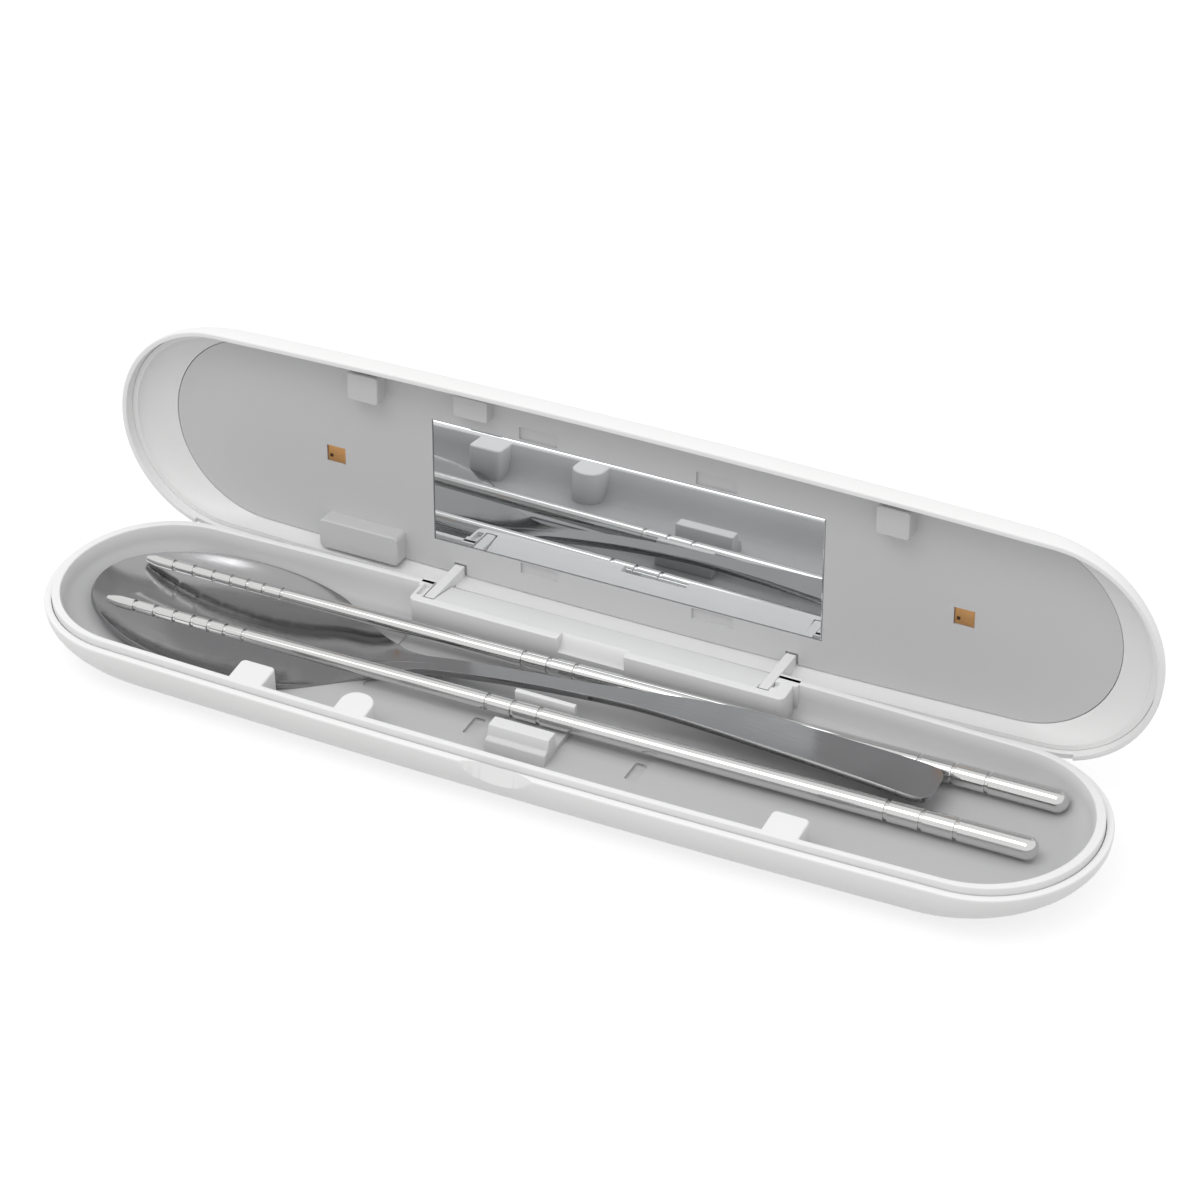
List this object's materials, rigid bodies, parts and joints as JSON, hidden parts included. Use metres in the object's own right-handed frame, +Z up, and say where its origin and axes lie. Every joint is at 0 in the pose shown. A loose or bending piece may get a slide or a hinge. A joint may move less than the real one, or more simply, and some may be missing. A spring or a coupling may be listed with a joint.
{
  "type": "cutlery sterilizer box",
  "caption": "Long oval flip-lid box with ultraviolet lamps in the lid, holding a spoon and a pair of chopsticks.",
  "frame": {"origin": "on the table under the middle of the base, at the underside of the middle foot strip", "axes": "+X along the box to the right seen from its front, +Y to the hinge side, +Z up; the lid stands open"},
  "size_m": [0.2572, 0.0741, 0.0651],
  "materials": {
    "outer_plastic": "satin white ABS",
    "inner_plastic": "fine matt white ABS",
    "liner_plastic": "fine matt white ABS",
    "foot_rubber": "matt silicone",
    "screw_steel": "zinc plated",
    "pin_steel": "ground stainless steel",
    "magnet_nickel": "nickel plated",
    "cutlery_steel": "polished stainless steel",
    "mirror_glass": "flat silvered glass",
    "foam_tape": "double-sided foam",
    "lamp_package": "ceramic lamp package with gold pads",
    "board_laminate": "solder-masked laminate",
    "chip_black": "moulded epoxy",
    "switch_black": "moulded nylon",
    "button_plastic": "satin white ABS",
    "lens_clear": "clear polycarbonate",
    "indicator_white": "moulded lamp",
    "battery_foil": "laminated pouch foil",
    "port_steel": "drawn steel",
    "lead_sleeve": "PVC sleeve"
  },
  "bodies": {
    "base": {"base_shell": "outer_plastic", "base_tray": "inner_plastic", "base_feet": "foot_rubber", "base_screws": "screw_steel", "hinge_pins": "pin_steel", "base_latch_magnets": "magnet_nickel", "sensor_magnet": "magnet_nickel"},
    "lid": {"lid_shell": "outer_plastic", "lid_frame": "inner_plastic", "lid_liner": "liner_plastic", "mirror": "mirror_glass", "mirror_tape": "foam_tape", "uv_leds": "lamp_package", "led_boards": "board_laminate", "led_leads": "lead_sleeve", "main_board": "board_laminate", "board_screws": "screw_steel", "board_chips": "chip_black", "button_switch": "switch_black", "indicator_lens": "lens_clear", "indicator_led": "indicator_white", "battery": "battery_foil", "battery_tape": "foam_tape", "battery_leads": "lead_sleeve", "charge_port": "port_steel", "charge_board": "board_laminate", "charge_leads": "lead_sleeve", "lid_sensor": "chip_black", "sensor_leads": "lead_sleeve", "lid_latch_magnets": "magnet_nickel"},
    "button": {"power_button": "button_plastic", "switch_plunger": "switch_black"},
    "spoon": {"spoon": "cutlery_steel"},
    "front_chopstick": {"front_chopstick": "cutlery_steel"},
    "rear_chopstick": {"rear_chopstick": "cutlery_steel"}
  },
  "joints": [
    {"name": "lid_hinge", "type": "hinge", "parent": "base", "child": "lid", "pos_m": [0, 0.026, 0.0111], "axis": [1, 0, 0], "range_deg": [0, 94]},
    {"name": "button_press", "type": "slide", "parent": "lid", "child": "button", "axis": [0, -0.9976, 0.0698], "range_m": [0, 0.0005], "stiffness_N_per_m": 1500, "springref_m": -0.0003},
    {"name": "spoon_lift", "type": "slide", "parent": "base", "child": "spoon", "axis": [0, 0, 1], "range_m": [0, 0.07]},
    {"name": "front_chopstick_lift", "type": "slide", "parent": "spoon", "child": "front_chopstick", "axis": [0, 0, 1], "range_m": [0, 0.07]},
    {"name": "rear_chopstick_lift", "type": "slide", "parent": "spoon", "child": "rear_chopstick", "axis": [0, 0, 1], "range_m": [0, 0.07]}
  ]
}
